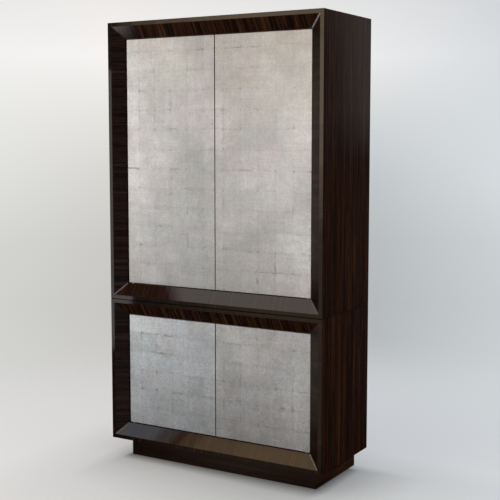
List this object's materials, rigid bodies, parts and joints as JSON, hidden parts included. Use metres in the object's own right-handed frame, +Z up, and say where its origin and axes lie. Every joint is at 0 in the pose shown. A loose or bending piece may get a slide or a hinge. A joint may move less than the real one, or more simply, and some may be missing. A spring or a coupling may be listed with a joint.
{
  "type": "armoire",
  "caption": "Tall two-stage armoire: upper and lower cabinets with bevelled dark ebony frames, inset silver-leaf doors on pivot hinges with push latches, inner shelves and a recessed plinth.",
  "frame": {"origin": "on the floor, under the middle of the width and depth", "axes": "+Z up, +X to the right seen from the front, front of the armoire faces -Y"},
  "size_m": [1.2, 0.5, 2.2],
  "materials": {
    "ebony_lacquer": "striped dark ebony veneer under high-gloss lacquer",
    "silver_leaf_door": "silver leaf laid in squares on the board, toned and lacquered",
    "interior_veneer": "dark brown veneer, satin",
    "batten_wood": "stained solid wood, matt",
    "brass_fittings": "satin brass",
    "zinc_steel": "zinc-plated steel",
    "bright_steel": "nickel-plated steel",
    "latch_plastic": "moulded dark plastic",
    "nylon_washer": "white nylon"
  },
  "bodies": {
    "carcass": {"back_panel_screws": "zinc_steel", "hinge_and_latch_screws": "zinc_steel", "hinge_frame_leaves": "brass_fittings", "hinge_pins": "brass_fittings", "hinge_washers": "nylon_washer", "joining_bolts": "zinc_steel", "joining_inserts": "zinc_steel", "latch_housings": "latch_plastic", "lower_back_panel": "interior_veneer", "lower_bottom_panel": "ebony_lacquer", "lower_deck": "interior_veneer", "lower_deck_bearers": "batten_wood", "lower_frame_bottom_rail": "ebony_lacquer", "lower_frame_left_stile": "ebony_lacquer", "lower_frame_right_stile": "ebony_lacquer", "lower_frame_top_rail": "ebony_lacquer", "lower_left_side": "ebony_lacquer", "lower_right_side": "ebony_lacquer", "lower_shelf_1": "interior_veneer", "lower_shelf_pins": "brass_fittings", "lower_stop_rail": "batten_wood", "lower_top_panel": "ebony_lacquer", "plinth_back": "ebony_lacquer", "plinth_corner_blocks": "batten_wood", "plinth_front": "ebony_lacquer", "plinth_left": "ebony_lacquer", "plinth_right": "ebony_lacquer", "upper_back_panel": "interior_veneer", "upper_bottom_panel": "ebony_lacquer", "upper_deck": "interior_veneer", "upper_deck_bearers": "batten_wood", "upper_frame_bottom_rail": "ebony_lacquer", "upper_frame_left_stile": "ebony_lacquer", "upper_frame_right_stile": "ebony_lacquer", "upper_frame_top_rail": "ebony_lacquer", "upper_left_side": "ebony_lacquer", "upper_right_side": "ebony_lacquer", "upper_shelf_1": "interior_veneer", "upper_shelf_2": "interior_veneer", "upper_shelf_3": "interior_veneer", "upper_shelf_pins": "brass_fittings", "upper_stop_rail": "batten_wood", "upper_top_panel": "ebony_lacquer"},
    "lower_left_door": {"lower_left_door": "silver_leaf_door", "lower_left_door_leaves": "brass_fittings", "lower_left_strike": "bright_steel"},
    "lower_right_door": {"lower_right_door": "silver_leaf_door", "lower_right_door_leaves": "brass_fittings", "lower_right_strike": "bright_steel"},
    "upper_left_door": {"upper_left_door": "silver_leaf_door", "upper_left_door_leaves": "brass_fittings", "upper_left_strike": "bright_steel"},
    "upper_right_door": {"upper_right_door": "silver_leaf_door", "upper_right_door_leaves": "brass_fittings", "upper_right_strike": "bright_steel"},
    "lower_left_latch": {"lower_left_latch_plunger": "latch_plastic"},
    "lower_right_latch": {"lower_right_latch_plunger": "latch_plastic"},
    "upper_left_latch": {"upper_left_latch_plunger": "latch_plastic"},
    "upper_right_latch": {"upper_right_latch_plunger": "latch_plastic"}
  },
  "joints": [
    {"name": "lower_left_door_swing", "type": "hinge", "parent": "carcass", "child": "lower_left_door", "pos_m": [-0.5, -0.196, 0.461], "axis": [0, 0, -1], "range_deg": [0, 110]},
    {"name": "lower_right_door_swing", "type": "hinge", "parent": "carcass", "child": "lower_right_door", "pos_m": [0.5, -0.196, 0.461], "axis": [0, 0, 1], "range_deg": [0, 110]},
    {"name": "upper_left_door_swing", "type": "hinge", "parent": "carcass", "child": "upper_left_door", "pos_m": [-0.5, -0.196, 1.511], "axis": [0, 0, -1], "range_deg": [0, 110]},
    {"name": "upper_right_door_swing", "type": "hinge", "parent": "carcass", "child": "upper_right_door", "pos_m": [0.5, -0.196, 1.511], "axis": [0, 0, 1], "range_deg": [0, 110]},
    {"name": "lower_left_latch_press", "type": "slide", "parent": "carcass", "child": "lower_left_latch", "axis": [0, 1, 0], "range_m": [0, 0.003], "stiffness_N_per_m": 300, "springref_m": -0.01},
    {"name": "lower_right_latch_press", "type": "slide", "parent": "carcass", "child": "lower_right_latch", "axis": [0, 1, 0], "range_m": [0, 0.003], "stiffness_N_per_m": 300, "springref_m": -0.01},
    {"name": "upper_left_latch_press", "type": "slide", "parent": "carcass", "child": "upper_left_latch", "axis": [0, 1, 0], "range_m": [0, 0.003], "stiffness_N_per_m": 300, "springref_m": -0.01},
    {"name": "upper_right_latch_press", "type": "slide", "parent": "carcass", "child": "upper_right_latch", "axis": [0, 1, 0], "range_m": [0, 0.003], "stiffness_N_per_m": 300, "springref_m": -0.01}
  ]
}
